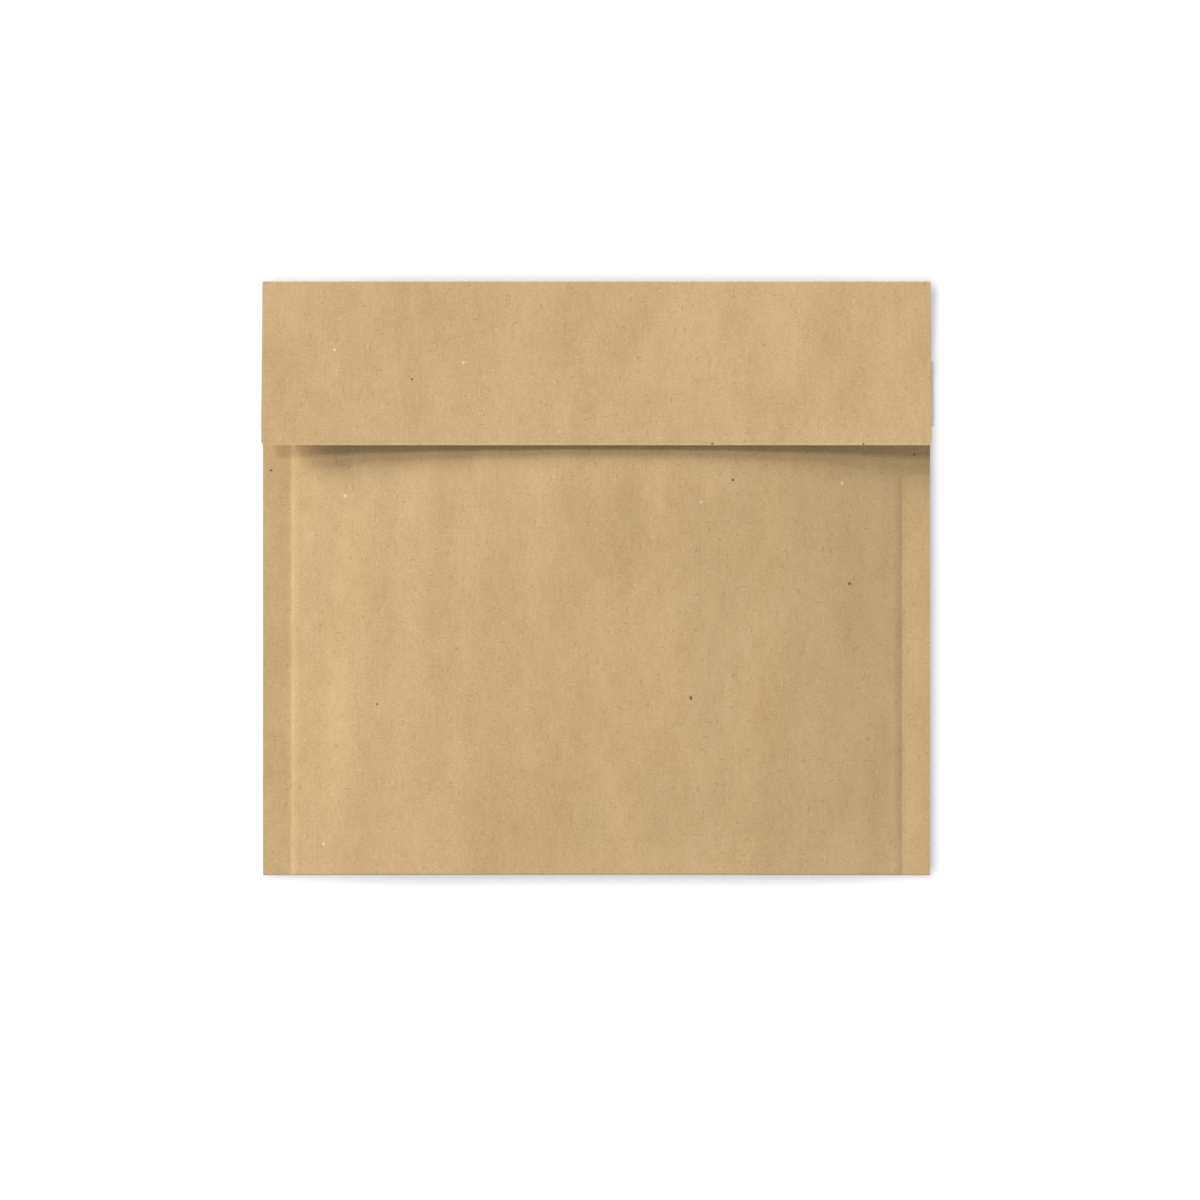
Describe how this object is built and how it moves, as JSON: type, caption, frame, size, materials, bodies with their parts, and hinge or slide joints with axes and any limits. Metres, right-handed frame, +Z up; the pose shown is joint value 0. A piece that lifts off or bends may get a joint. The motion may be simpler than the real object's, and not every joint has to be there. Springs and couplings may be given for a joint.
{
  "type": "padded envelope",
  "caption": "Kraft paper envelope padded inside with bubble film, lying flat with its glued flap folded over the mouth and a release strip still on the glue.",
  "frame": {"origin": "on the floor under the middle of the envelope's box, as it lies flap side up", "axes": "+X to the right along the flap's fold, +Y from the bottom fold to the flap's fold, +Z up out of the flap side"},
  "size_m": [0.202, 0.178, 0.0082],
  "materials": {
    "kraft_paper": "matte",
    "bubble_film": "gloss",
    "hot_melt_glue": "satin",
    "release_paper": "satin"
  },
  "bodies": {
    "root": {"kraft_outer": "kraft_paper", "bubble_liner": "bubble_film", "adhesive_strip": "hot_melt_glue", "release_liner": "release_paper"}
  },
  "joints": []
}
